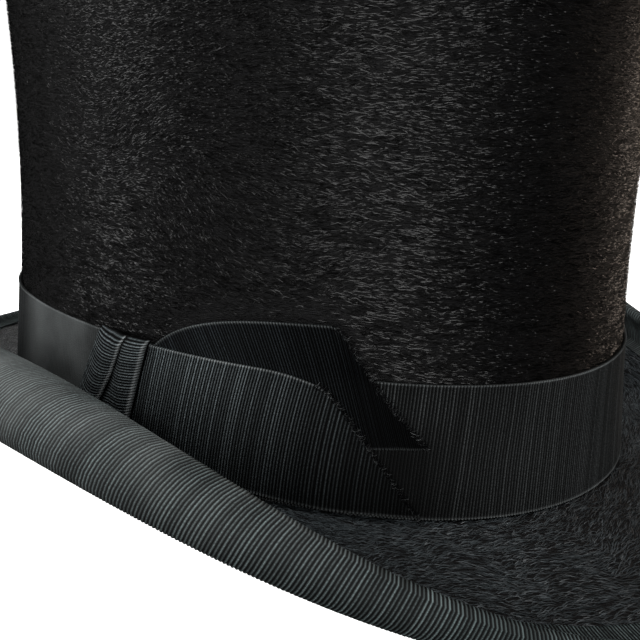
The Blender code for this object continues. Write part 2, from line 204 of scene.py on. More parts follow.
def vectors(x, y, z):
    return np.stack(np.broadcast_arrays(x, y, z), axis=-1)


def unit(v):
    return v / np.linalg.norm(v, axis=-1, keepdims=True)


def flare(height):
    below = FOOT_FLARE * (1 - np.maximum(height, 0) / WAIST_HEIGHT) ** 2
    above = BELL_FLARE * ((height - WAIST_HEIGHT) / (CROWN_HEIGHT - WAIST_HEIGHT)) ** 2
    return np.where(height < WAIST_HEIGHT, below, above)


def crown(angle, height, depth):
    """Points of the crown's wall, at heights above its foot and depths inside the bow's face."""
    angle, height, depth = np.broadcast_arrays(angle, height, depth)
    out = flare(height) - depth
    fade = 1 - np.clip(height / TIP_LEVEL, 0, 1) ** SADDLE_FADE
    rise = SADDLE * np.cos(angle) ** 2 * fade
    return vectors(
        (OVAL_HALF_WIDTH + out) * np.cos(angle),
        (OVAL_HALF_LENGTH + out) * np.sin(angle),
        BRIM_DIP + height + rise,
    )


def turns(count):
    """Evenly spaced angles of a whole turn."""
    return np.linspace(0, math.tau, count, endpoint=False)


def round_angles(count):
    """The same as a column, for the rows of a grid that runs all round the hat."""
    return turns(count)[:, None]


def side_by_side(*grids):
    return np.concatenate(grids, axis=1)


def side_share(angle):
    """1 at the hat's two sides, 0 along its front and back."""
    return np.abs(np.cos(angle)) ** SIDE_POWER


def outward(angle):
    return unit(vectors(np.cos(angle) / ROLL_HALF_WIDTH, np.sin(angle) / ROLL_HALF_LENGTH, 0.0))


def roll(angle, share, height):
    """Points of the brim's rolled edge, at shares of its turn and heights above the underside."""
    angle, share, height = np.broadcast_arrays(angle, share, height)
    side = side_share(angle)
    radius = mix(ROLL_RADIUS_END, ROLL_RADIUS_SIDE, side)
    centre = vectors(
        ROLL_HALF_WIDTH * np.cos(angle), ROLL_HALF_LENGTH * np.sin(angle), SIDE_RISE * side + radius
    )
    slope = mix(BRIM_SLOPE_END, BRIM_SLOPE_SIDE, side)
    direction = slope + mix(ROLL_TURN_END, ROLL_TURN_SIDE, side**ROLL_TURN_POWER) * share
    spoke = outward(angle) * np.sin(direction)[..., None]
    spoke = spoke - vectors(0.0, 0.0, np.cos(direction))
    return centre + spoke * (radius - height)[..., None]


def flat(angle, share, height):
    """Points of the brim between the crown and its rolled edge."""
    angle, share, height = np.broadcast_arrays(angle, share, height)
    side = side_share(angle)
    start = crown(angle, 0.0, 0.0054) - np.array([0, 0, BRIM_STACK])
    end = roll(angle, 0.0, 0.0)
    chord = np.linalg.norm(end - start, axis=-1, keepdims=True)
    away = unit((end - start) * np.array([1, 1, 0]))
    foot_slope = mix(FOOT_SLOPE_END, FOOT_SLOPE_SIDE, side)[..., None]
    slope = mix(BRIM_SLOPE_END, BRIM_SLOPE_SIDE, side)[..., None]
    up = np.array([0.0, 0.0, 1.0])
    leave = (away * np.cos(foot_slope) + up * np.sin(foot_slope)) * chord
    arrive = (outward(angle) * np.cos(slope) + up * np.sin(slope)) * chord
    s = share[..., None]
    point = (
        start * (2 * s**3 - 3 * s**2 + 1)
        + leave * (s**3 - 2 * s**2 + s)
        + end * (3 * s**2 - 2 * s**3)
        + arrive * (s**3 - s**2)
    )
    along = (
        (start - end) * (6 * s**2 - 6 * s)
        + leave * (3 * s**2 - 4 * s + 1)
        + arrive * (3 * s**2 - 2 * s)
    )
    level = along * np.array([1, 1, 0])
    reach = np.linalg.norm(level, axis=-1, keepdims=True)
    across = unit(level / reach * -along[..., 2:] + up * reach)
    return point + across * height[..., None]


def brim(angle, share, height):
    """Points of the brim. Shares 0 to 1 lie on its flat part, and 1 to 2 on the roll."""
    angle, share, height = np.broadcast_arrays(angle, share, height)
    flat_part = flat(angle, np.minimum(share, 1), height)
    rolled_part = roll(angle, np.maximum(share, 1) - 1, height)
    return np.where((share <= 1)[..., None], flat_part, rolled_part)


class Oval:
    """Turns arc lengths round an oval into angles. Arc 0 is at the start angle."""

    def __init__(self, half_width, half_length, start):
        self.angles = start + np.linspace(-math.tau, 2 * math.tau, 24001)
        speed = np.hypot(half_width * np.sin(self.angles), half_length * np.cos(self.angles))
        steps = (speed[1:] + speed[:-1]) / 2 * np.diff(self.angles)
        arcs = np.concatenate([[0.0], np.cumsum(steps)])
        self.length = arcs[-1] / 3
        self.arcs = arcs - self.length

    def angle(self, arc):
        return np.interp(arc, self.arcs, self.angles)

    def arc(self, angle):
        return np.interp(angle, self.angles, self.arcs)


CROWN_OVAL = Oval(OVAL_HALF_WIDTH, OVAL_HALF_LENGTH, BOW_ANGLE)
BRIM_OVAL = Oval(
    ROLL_HALF_WIDTH + ROLL_RADIUS_SIDE, ROLL_HALF_LENGTH + ROLL_RADIUS_END, -math.pi / 2
)


def patches(u, v, size, seed):
    """Random values from -1 to 1 that vary smoothly over a size."""
    lattice = np.random.default_rng(seed).uniform(-1, 1, (PATCH_LATTICE, PATCH_LATTICE))
    x, y = np.asarray(u) / size, np.asarray(v) / size
    column, row = np.floor(x).astype(int), np.floor(y).astype(int)
    fx, fy = ((part * part * (3 - 2 * part)) for part in (x - column, y - row))
    near, far = column % PATCH_LATTICE, (column + 1) % PATCH_LATTICE
    below, above = row % PATCH_LATTICE, (row + 1) % PATCH_LATTICE
    low = mix(lattice[near, below], lattice[far, below], fx)
    high = mix(lattice[near, above], lattice[far, above], fx)
    return mix(low, high, fy)


# ---------------------------------------------------------------- meshes


def add_mesh(name, points, faces, material, cloth=None, tone=None):
    """A mesh object. faces is a list of arrays, each with faces of one size. cloth gives each
    point's place on the flat cloth in metres, and tone a shade from 0 to 1."""
    mesh = bpy.data.meshes.new(name)
    points = points.reshape(-1, 3)
    mesh.vertices.add(len(points))
    mesh.vertices.foreach_set("co", points.astype(np.float32).ravel())
    loops = np.concatenate([group.ravel() for group in faces])
    sizes = np.concatenate([np.full(len(group), group.shape[1]) for group in faces])
    mesh.loops.add(len(loops))
    mesh.loops.foreach_set("vertex_index", loops.astype(np.int32))
    mesh.polygons.add(len(sizes))
    starts = np.concatenate([[0], np.cumsum(sizes)[:-1]])
    mesh.polygons.foreach_set("loop_start", starts.astype(np.int32))
    mesh.polygons.foreach_set("use_smooth", np.ones(len(sizes), dtype=bool))
    mesh.update(calc_edges=True)
    if cloth is not None:
        layer = mesh.attributes.new("cloth", "FLOAT_VECTOR", "POINT")
        layer.data.foreach_set("vector", cloth.astype(np.float32).reshape(-1, 3).ravel())
    if tone is not None:
        layer = mesh.attributes.new("tone", "FLOAT", "POINT")
        layer.data.foreach_set("value", tone.astype(np.float32).ravel())
    mesh.materials.append(material)
    piece = bpy.data.objects.new(name, mesh)
    bpy.context.scene.collection.objects.link(piece)
    return piece


def grid_faces(rows, columns, close_rows, close_columns):
    """Quads between rows x columns points, closed round either way."""
    index = np.arange(rows * columns).reshape(rows, columns)
    if close_rows:
        index = np.concatenate([index, index[:1]])
    if close_columns:
        index = side_by_side(index, index[:, :1])
    quads = np.stack([index[:-1, :-1], index[1:, :-1], index[1:, 1:], index[:-1, 1:]], axis=-1)
    return quads.reshape(-1, 4)


def orient(piece):
    """Flips all of a closed solid's faces together if, on the whole, they look inwards. Returns the
    solid.
    """
    mesh = piece.data
    points = np.empty(len(mesh.vertices) * 3, dtype=np.float32)
    mesh.vertices.foreach_get("co", points)
    points = points.reshape(-1, 3).astype(float)
    mesh.calc_loop_triangles()
    corners = np.empty(len(mesh.loop_triangles) * 3, dtype=np.int32)
    mesh.loop_triangles.foreach_get("vertices", corners)
    a, b, c = (points[corners.reshape(-1, 3)[:, i]] for i in range(3))
    if np.einsum("ij,ij->i", a, np.cross(b, c)).sum() < 0:
        mesh.flip_normals()
    return piece


def ring(name, sections, material, cloth=None, tone=None):
    """A closed solid from closed sections that follow each other all round the hat."""
    count, size = sections.shape[:2]
    faces = [grid_faces(count, size, True, True)]
    return orient(add_mesh(name, sections, faces, material, cloth, tone))


def strip(name, sections, material, cloth=None, tone=None):
    """A closed solid from a row of closed sections, with a cap at each end."""
    count, size = sections.shape[:2]
    first = np.arange(size)[None, :]
    last = first[:, ::-1] + (count - 1) * size
    faces = [grid_faces(count, size, False, True), first, last]
    return orient(add_mesh(name, sections, faces, material, cloth, tone))


def disc(name, rings, bottom, top, material):
    """A closed solid from rings that run from the bottom's centre out and back to the top's."""
    count, size = rings.shape[:2]
    points = np.concatenate([rings.reshape(-1, 3), [bottom], [top]])
    around = np.arange(size)
    after = (around + 1) % size
    low = np.stack([np.full(size, count * size), after, around], axis=-1)
    high = np.stack(
        [np.full(size, count * size + 1), around + (count - 1) * size, after + (count - 1) * size],
        axis=-1,
    )
    faces = [grid_faces(count, size, False, True), low, high]
    return orient(add_mesh(name, points, faces, material, points))


# ---------------------------------------------------------------- materials


class Finish:
    """A procedural material built round one Principled shader."""

    def __init__(self, name, **sockets):
        self.material = bpy.data.materials.new(name)
        self.material.use_nodes = True
        self.nodes = self.material.node_tree.nodes
        self.links = self.material.node_tree.links
        self.shader = self.nodes["Principled BSDF"]
        for socket, value in sockets.items():
            self.shader.inputs[socket.replace("_", " ")].default_value = value

    def add(self, kind, feeds, **settings):
        """A node. feeds maps its inputs to values or to other nodes' outputs."""
        node = self.nodes.new(kind)
        for setting, value in settings.items():
            setattr(node, setting, value)
        for socket, value in feeds.items():
            if isinstance(value, bpy.types.NodeSocket):
                self.links.new(value, node.inputs[socket])
            else:
                node.inputs[socket].default_value = value
        return node

    def cloth(self, stretch):
        """The place on the flat cloth, stretched."""
        place = self.add("ShaderNodeAttribute", {}, attribute_name="cloth")
        mapping = self.add("ShaderNodeMapping", {"Vector": place.outputs["Vector"], "Scale": stretch})
        return mapping.outputs["Vector"]

    def space(self):
        """The place on the object."""
        return self.add("ShaderNodeTexCoord", {}).outputs["Object"]

    def tone(self):
        return self.add("ShaderNodeAttribute", {}, attribute_name="tone").outputs["Fac"]

    def noise(self, scale, detail=3.0, place=None):
        """Smooth noise on the object, unless another place is given."""
        feeds = {"Vector": place or self.space(), "Scale": scale, "Detail": detail}
        return self.add("ShaderNodeTexNoise", feeds).outputs["Fac"]

    def math(self, operation, first, second=0.0):
        node = self.add("ShaderNodeMath", {0: first, 1: second}, operation=operation)
        return node.outputs[0]

    def ramp(self, value, low, high, start=0.0, end=1.0):
        """A value carried from the range low to high over to the range start to end."""
        feeds = {"Value": value, "From Min": low, "From Max": high, "To Min": start, "To Max": end}
        return self.add("ShaderNodeMapRange", feeds).outputs["Result"]

    def blend(self, share, first, second):
        """A colour between two, which are (r, g, b) or outputs."""
        node = self.add("ShaderNodeMix", {0: share}, data_type="RGBA")
        for socket, colour in ((6, first), (7, second)):
            if isinstance(colour, bpy.types.NodeSocket):
                self.links.new(colour, node.inputs[socket])
            else:
                node.inputs[socket].default_value = (*colour, 1)
        return node.outputs[2]

    def feed(self, socket, value):
        self.links.new(value, self.shader.inputs[socket])

    def colour(self, share, first, second):
        self.feed("Base Color", self.blend(share, first, second))

    def bump(self, height, distance, strength=1.0):
        feeds = {"Height": height, "Distance": distance, "Strength": strength}
        self.feed("Normal", self.add("ShaderNodeBump", feeds).outputs["Normal"])


def plush_ground(name):
    """The dark pile between the hairs."""
    finish = Finish(name, Roughness=0.6, Specular_IOR_Level=0.08)
    streaks = finish.noise(700, 4.0, finish.cloth((1, 6, 1)))
    broad = finish.noise(60)
    shade = finish.math("MULTIPLY", streaks, finish.ramp(broad, 0.3, 0.7, 0.5, 1.0))
    finish.colour(shade, (0.0001, 0.0001, 0.0002), (0.0012, 0.0011, 0.0012))
    finish.bump(streaks, 0.0004)
    return finish.material


def plush_hair(name, dark, light, roughness, specular):
    """Brushed silk hairs or loose threads, each with its own shade."""
    finish = Finish(name, Roughness=roughness, Specular_IOR_Level=specular)
    fine = finish.noise(900, 2.0)
    shade = finish.math("MULTIPLY", finish.tone(), finish.ramp(fine, 0.3, 0.7, 0.6, 1.0))
    finish.colour(shade, dark, light)
    return finish.material


def grosgrain(name, crest, worn, furrow=JET, specular=0.03):
    """Ribbed ribbon. The ribs are in the mesh, whose cloth layer gives their height as z, and fine warp
    threads cross each of them. Painted shade darkens the colour from the crest down to the furrow colour
    with that height, and the tone blends it towards the worn colour, for wear and for painted light."""
    finish = Finish(name, Roughness=0.7, Specular_IOR_Level=specular)
    threads = finish.noise(1500, 2.0, finish.cloth((1, 1.6, 0)))
    stains = finish.noise(45, 4.0)
    place = finish.add("ShaderNodeAttribute", {}, attribute_name="cloth").outputs["Vector"]
    height = finish.add("ShaderNodeSeparateXYZ", {"Vector": place}).outputs["Z"]
    lit = finish.math("POWER", height, RIB_SHARPNESS)
    beads = finish.math("MULTIPLY", lit, finish.ramp(threads, 0.3, 0.7, 0.3, 1.0))
    # the tone carries wear and painted light
    wear_and_painted_light = finish.math("MULTIPLY", finish.tone(), finish.ramp(stains, 0.35, 0.7, 0.35, 1.0))
    colour = finish.blend(beads, furrow, crest)
    finish.colour(wear_and_painted_light, colour, worn)
    finish.bump(threads, 0.00014)
    return finish.material


def felted_cloth(name):
    """Matt black cloth under the brim."""
    finish = Finish(name, Roughness=0.9, Specular_IOR_Level=0.15)
    weave = finish.noise(1500, 4.0)
    stains = finish.noise(30)
    colour = finish.blend(weave, (0.006, 0.006, 0.0065), (0.022, 0.022, 0.023))
    finish.colour(finish.ramp(stains, 0.5, 0.8), colour, (0.03, 0.028, 0.026))
    finish.bump(weave, 0.0002)
    return finish.material


def satin(name, dark, light, roughness=0.35):
    finish = Finish(name, Roughness=roughness, Specular_IOR_Level=0.5, Anisotropic=0.6)
    threads = finish.noise(900, 3.0, finish.cloth((1, 12, 1)))
    stains = finish.noise(25, 5.0)
    colour = finish.blend(threads, dark, light)
    finish.colour(finish.ramp(stains, 0.45, 0.8, 0.0, 0.5), colour, dark)
    finish.bump(threads, 0.00008)
    return finish.material


def leather(name, dark, light):
    finish = Finish(name, Roughness=0.5, Specular_IOR_Level=0.45)
    grain = finish.add(
        "ShaderNodeTexVoronoi", {"Vector": finish.space(), "Scale": 1400.0}
    ).outputs["Distance"]
    stains = finish.noise(35, 5.0)
    finish.colour(finish.ramp(stains, 0.35, 0.7), dark, light)
    finish.feed("Roughness", finish.ramp(stains, 0.3, 0.7, 0.42, 0.62))
    finish.bump(grain, 0.00012)
    return finish.material


def goss(name, dark, light):
    """Muslin stiffened with shellac: a varnish over an open weave."""
    finish = Finish(name, Roughness=0.45, Specular_IOR_Level=0.5)
    weave = finish.add(
        "ShaderNodeTexChecker", {"Vector": finish.space(), "Scale": 1800.0}
    ).outputs["Fac"]
    drips = finish.noise(70, 4.0)
    finish.colour(finish.ramp(drips, 0.3, 0.7), dark, light)
    finish.bump(weave, 0.00008, 0.6)
    return finish.material


def thread(name, colour):
    finish = Finish(name, Roughness=0.7, Specular_IOR_Level=0.3)
    twist = finish.noise(3000, 2.0)
    darker = tuple(0.5 * channel for channel in colour)
    finish.colour(twist, darker, colour)
    finish.bump(twist, 0.00005)
    return finish.material


# ---------------------------------------------------------------- nap


def lay_hairs(surface, u, v, heading, bend, length, width, lift, tilt):
    """Flat tapered hairs that follow a surface(u, v, lift). A heading of 0 runs along u.
    Returns their points and quads."""
    step = 1e-4
    base = surface(u, v, 0.0)
    along_u = (surface(u + step, v, 0.0) - base) / step
    along_v = (surface(u, v + step, 0.0) - base) / step
    scale_u = np.linalg.norm(along_u, axis=-1)
    scale_v = np.linalg.norm(along_v, axis=-1)
    normal = unit(surface(u, v, 0.001) - base)
    middles = []
    for share, rise in ((0.0, 0.0), (0.5, 1.0), (1.0, 0.75)):
        turn = heading + bend * share
        reach = length * share
        middles.append(
            surface(
                u + reach * np.cos(turn) / scale_u,
                v + reach * np.sin(turn) / scale_v,
                lift * rise,
            )
        )
    run = unit(middles[2] - middles[0])
    side = unit(np.cross(run, normal))
    across = side * np.cos(tilt)[:, None] + normal * np.sin(tilt)[:, None]
    points = []
    for middle, taper in zip(middles, (0.6, 1.0, 0.2)):
        half = across * (width * taper / 2)[:, None]
        points.append(middle - half)
        points.append(middle + half)
    points = np.stack(points, axis=1)
    first = np.arange(len(u))[:, None] * 6
    quads = np.concatenate([first + np.array([0, 1, 3, 2]), first + np.array([2, 3, 5, 4])])
    return points, quads


def add_nap(name, surface, u, v, heading, rng, hair, material, shade, tilt=0.0):
    """One piece of hairs of a kind, as listed above. shade is each hair's tone."""
    count = len(u)
    points, quads = lay_hairs(
        surface,
        u,
        v,
        heading,
        rng.normal(0, 0.16, count),
        *(rng.uniform(*limits, count) for limits in hair),
        tilt + rng.uniform(-0.3, 0.3, count),
    )
    return add_mesh(name, points, [quads], material, tone=np.repeat(shade, 6))


# ---------------------------------------------------------------- ribbons


def rib_columns(count, phases, rng, strengths=RIB_STRENGTHS):
    """The place of each column in ribs, and its share of a rib's height. Each rib has a random
    strength of its own."""
    place = (np.arange(count)[:, None] + np.array(phases)[None, :]).ravel()
    relief = np.abs(np.sin(np.pi * (place % 1))) ** RIB_ROUND
    return place, relief * rng.uniform(*strengths, count)[np.floor(place).astype(int)]


def selvedge_rows(width, middle_rows):
    """Shares of a ribbon's width from one selvedge to the other, closer together at both."""
    edge = np.array([0.0, 0.25, 0.6, 1.1, 2.0]) * SELVEDGE_WIDTH / width
    inner = np.linspace(edge[-1], 1 - edge[-1], middle_rows)[1:-1]
    return np.concatenate([edge, inner, 1 - edge[::-1]])


def selvedge(distance):
    """How much of the edge's bead there is at a distance from it."""
    return np.exp(-((distance / SELVEDGE_WIDTH - 0.45) ** 2) * 5)


def rib_rise(relief, near):
    """How far the ribs stand out of the ribbon's flat face, at distances from a selvedge."""
    return relief * (RIB_DEPTH + SELVEDGE_BEAD * selvedge(near)) - RIB_SINK


def save_size(cad_bounds):
    """Works out the CAD's box and the visual model's box as plain lists; nothing is written."""
    boxes = {"cad": cad_bounds, "visual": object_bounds()}
    plain = {name: [list(map(float, corner)) for corner in box] for name, box in boxes.items()}


# ---------------------------------------------------------------- crown


def make_crown_cover(material):
    """The plush's ground, from which the hairs rise."""
    angles = round_angles(360)
    heights = np.linspace(COLLAR_HEIGHT + GAP, COVER_TOP, 40)[None, :]
    arcs = CROWN_OVAL.arc(angles)
    swell = 0.00012 * patches(arcs, heights, 0.004, 11)
    outer = crown(angles, heights, PLUSH_WALL[0] - swell)
    inner = crown(angles, heights, PLUSH_WALL[1])[:, ::-1][:, ::8]
    sections = side_by_side(outer, inner)
    flat_heights = np.concatenate([heights[0], heights[0, ::-1][::8]])
    cloth = vectors(arcs, flat_heights[None, :], 0.0)
    return ring("crown_plush_cover", sections, material, cloth)


def crown_heading(arc, height):
    """Which way the nap is brushed: level, with waves and a few swirled patches."""
    heading = 0.13 * patches(arc, height, 0.022, 21) + 0.12 * patches(arc, height * 1.6, 0.005, 22)
    for centre, level, radius, turn in SWIRLS:
        distance = np.hypot(arc - centre, height - level) / radius
        heading = heading + turn * np.exp(-(distance**2))
    return heading


def nap_shade(arc, height, rng, size):
    """Each hair's tone: streaks of lighter hairs along the nap, over broader patches."""
    streaks = patches(arc, height * 7, size, 31)
    broad = patches(arc, height, size * 7, 32)
    single = rng.uniform(0, 1, len(arc)) ** 2
    return np.clip(0.22 + 0.22 * streaks + 0.10 * broad + 0.40 * single, 0.02, 1)


def make_crown_nap(materials):
    """The brushed silk pile on the crown's side, of dull and of bright hairs. It is thin where the
    bow's back tail stands above the band."""
    rng = np.random.default_rng(5)

    def surface(arc, height, lift):
        return crown(CROWN_OVAL.angle(arc), height, PLUSH_WALL[0] - lift)

    naps = []
    count = CROWN_HAIRS // CROWN_NAP_PIECES
    for i in range(CROWN_NAP_PIECES):
        arc = rng.uniform(-0.5, 0.5, count) * CROWN_OVAL.length
        height = rng.uniform(BAND_HEIGHT - 0.001, NAP_TOP, count)
        above = height - np.where(np.abs(arc - 0.026) < 0.024, back_tail_edges(arc)[1], 0.0)
        kept = rng.uniform(0, 1, count) < np.clip(above / 0.006, 0.08, 1)
        arc, height = arc[kept], height[kept]
        naps.append(
            add_nap(
                f"crown_nap_{i + 1}",
                surface,
                arc,
                height,
                crown_heading(arc, height) + rng.normal(0, 0.10, len(arc)),
                rng,
                CROWN_HAIR,
                materials[i % 2],
                nap_shade(arc, height, rng, 0.0045),
                0.45 * patches(arc, height * 8, 0.0040, 33),
            )
        )
    return naps


def tip_surface(angle, share, lift):
    """Points of the tip. Share 1 is at its edge."""
    edge = crown(angle, TIP_EDGE, PLUSH_WALL[0] + 0.0006)
    return edge * vectors(share, share, 0.0) + vectors(0.0, 0.0, BRIM_DIP + CROWN_HEIGHT + lift)


def make_tip_cover(material):
    """The ground of the tip's plush, with a rounded edge."""
    angles = turns(240)
    bottom = BRIM_DIP + TIP_EDGE
    rings = []
    for share in (0.3, 0.7, 1.0):
        edge = crown(angles, TIP_EDGE, PLUSH_WALL[0])
        rings.append(edge * np.array([share, share, 0]) + np.array([0, 0, bottom]))
    for turn in np.linspace(0.15, 1, 6) * math.pi / 2:
        depth = PLUSH_WALL[0] + 0.0007 * (1 - math.cos(turn))
        edge = crown(angles, TIP_EDGE, depth)
        rings.append(
            edge * np.array([1, 1, 0]) + np.array([0, 0, bottom + 0.0008 * math.sin(turn)])
        )
    for share in np.linspace(0.97, 0.03, 30):
        ripple = 0.00006 * patches(angles * 0.1 * share, share * 0.1, 0.004, 41)
        rings.append(tip_surface(angles, share, ripple))
    centres = (0, 0, bottom), (0, 0, BRIM_DIP + CROWN_HEIGHT)
    return disc("tip_plush_cover", np.stack(rings), *centres, material)


def make_tip_nap(material):
    """The pile on the tip, brushed round in a whorl from its middle."""
    rng = np.random.default_rng(6)
    angle = rng.uniform(0, math.tau, TIP_HAIRS)
    share = np.sqrt(rng.uniform(0.001, 0.98, TIP_HAIRS))
    arc = angle * TIP_RADIUS
    return add_nap(
        "tip_nap",
        tip_surface,
        angle,
        share,
        0.25 + 0.3 * patches(arc, share * 0.1, 0.012, 42) + rng.normal(0, 0.12, TIP_HAIRS),
        rng,
        TIP_HAIR,
        material,
        nap_shade(arc, share * 0.1, rng, 0.0045),
    )


# ---------------------------------------------------------------- brim


def brim_layer(name, ply, inner_share, material, swell_size, seed):
    """A cover of the brim, out to the end of its roll. inner_share says where it starts, at the
    hat's ends and at its sides."""
    angles = round_angles(360)
    side = side_share(angles)
    inner = mix(*inner_share, side)
    flat_part = mix(inner, 0.97, np.linspace(0, 1, 14)[None, :])
    shares = side_by_side(flat_part, 1 + np.linspace(0, 1, 13) + 0 * side)
    arcs = BRIM_OVAL.arc(angles)
    swell = swell_size * patches(arcs, shares * BRIM_CLOTH_WIDTH, 0.003, seed)
    lower = brim(angles, shares, ply[0])
    upper = brim(angles, shares, ply[1] + swell)
    sections = side_by_side(lower, upper[:, ::-1])
    flat_shares = side_by_side(shares, shares[:, ::-1]) * BRIM_CLOTH_WIDTH
    cloth = vectors(arcs, flat_shares, 0.0)
    return ring(name, sections, material, cloth)


def make_brim_cover(material):
    return brim_layer("brim_plush_cover", BRIM_PLUSH_PLY, (0.040, 0.062), material, 0.00008, 51)


def make_under_cloth(material):
    return brim_layer("brim_under_felt", CLOTH_PLY, (0.0, 0.0), material, 0.00003, 52)


def make_brim_nap(material):
    """Shorter pile on top of the brim, brushed along it, and lighter towards its sides, partly from dust
    and partly as painted light where the crown and bow shade it.
    """
    rng = np.random.default_rng(7)
    arc = rng.uniform(-0.5, 0.5, BRIM_HAIRS) * BRIM_OVAL.length
    angle = BRIM_OVAL.angle(arc)
    side = side_share(angle)
    share = mix(mix(0.07, 0.11, side), 0.95, rng.uniform(0, 1, BRIM_HAIRS))

    def surface(place, outwards, lift):
        return brim(BRIM_OVAL.angle(place), outwards, BRIM_PLUSH_PLY[1] + lift)

    across = share * BRIM_CLOTH_WIDTH
    heading = 0.4 * patches(arc, across, 0.016, 53) + 0.4 * patches(arc, across, 0.004, 54)
    # lighter near the sides: partly dust, partly painted light where the crown and bow shade the brim
    dust_and_painted_light = 0.95 * side**0.55 * rng.uniform(0.3, 1, BRIM_HAIRS)
    clean = 0.75 * nap_shade(arc, across, rng, 0.004)
    return add_nap(
        "brim_nap",
        surface,
        arc,
        share,
        heading + rng.normal(0, 0.2, BRIM_HAIRS),
        rng,
        BRIM_HAIR,
        material,
        np.minimum(clean + dust_and_painted_light, 1),
    )


def make_binding(name, first_rib, ribs, total, material):
    """Half of the ribbon folded over the brim's edge. Its ribs run across the edge on a bias. Its tone
    is lighter over the fold at the sides, partly from wear and dust and partly as painted light, and
    painted shade darkens its underside and its furrows."""
    rng = np.random.default_rng(first_rib + 61)
    place, relief = rib_columns(ribs, RIB_PHASES, rng)
    relief = np.append(relief, 0.0)[:, None]
    arcs = (first_rib + np.append(place, ribs)[:, None]) * BRIM_OVAL.length / total
    side = side_share(BRIM_OVAL.angle(arcs))
    turn = mix(ROLL_TURN_END, ROLL_TURN_SIDE, side**ROLL_TURN_POWER)
    roll_length = turn * mix(ROLL_RADIUS_END, ROLL_RADIUS_SIDE, side)
    rise = relief * BINDING_RIB_DEPTH - RIB_SINK
    middle = (UNDER_PLY[0] + UPPER_PLY[1]) / 2
    half = (UPPER_PLY[1] - UNDER_PLY[0]) / 2
    edge = BINDING_EDGE + np.array([[0.0, 0.012, 0.03]])
    shares = side_by_side(edge, 1 + np.linspace(0, 0.98, 9)[None, :])
    bead = selvedge((shares - BINDING_EDGE) * BRIM_CLOTH_WIDTH) * SELVEDGE_BEAD
    crest = rise + bead * (0.3 + 0.7 * relief)

    def slanted(share):
        return BRIM_OVAL.angle(arcs + BINDING_BIAS * roll_length * (share - 1))

    def nose(radius, steps):
        """The ribbon's fold round the edge, as a half round of a radius."""
        end = slanted(2.0)
        base = roll(end, 1.0, middle)
        across = unit(roll(end, 1.0, middle + 0.001) - base)
        ahead = unit(base - roll(end, 0.98, middle))
        bend = np.linspace(-math.pi / 2, math.pi / 2, steps)[None, :, None]
        return base + (ahead * np.cos(bend) + across * np.sin(bend)) * radius[..., None]

    thick = UNDER_PLY[1] - UNDER_PLY[0]
    back = shares[:, ::-1]
    coarse = shares[:, ::2]
    sections = side_by_side(
        brim(slanted(shares), shares, UNDER_PLY[0] - crest),
        nose(half + rise, 5),
        brim(slanted(back), back, (UPPER_PLY[1] + crest)[:, ::-1]),
        brim(slanted(coarse), coarse, UPPER_PLY[0]),
        nose(np.full_like(rise, half - thick), 3)[:, ::-1],
        brim(slanted(coarse[:, ::-1]), coarse[:, ::-1], UNDER_PLY[1]),
    )
    count = shares.shape[1]
    over = side_by_side(shares, np.full((1, 5), 2.0), back)
    inside = np.ones((1, sections.shape[1] - over.shape[1]))
    along = side_by_side(over, inside)
    across_cloth = along * BINDING_CLOTH_WIDTH
    # painted light and shade: the tone is highest on top of the fold and lowest underneath
    fold = np.concatenate(
        [np.linspace(0, 0.3, count), np.full(5, 0.6), np.linspace(0.9, 0.25, count), inside[0] * 0]
    )
    # painted shade on the underside at the sides, through the colour's rib height
    underside_shading = mix(1, mix(0.84, 1, np.clip((along - 1) / 0.3, 0, 1)), side)
    cloth = vectors(arcs, across_cloth, relief * underside_shading)
    dust = patches(arcs, across_cloth, 0.006, 62)
    # lighter at the sides: partly wear, partly painted light
    side_wear_and_painted_light = mix(0.05, 1.15, side**3)
    # painted shade in the furrows, and dust over the fold at the sides
    dust_and_painted_light = mix(relief**3, 0.8, 0.6 * side**6)
    tone = np.clip(fold * side_wear_and_painted_light * (0.75 + 0.35 * dust) * dust_and_painted_light, 0, 1)
    return strip(name, sections, material, cloth, tone)


# ---------------------------------------------------------------- band and bow


def ribbon_tone(near, relief):
    """Lighter on the ribs' crests, and on a selvedge that is this near."""
    return np.clip(0.03 * relief + 0.8 * selvedge(near) * relief, 0, 1)


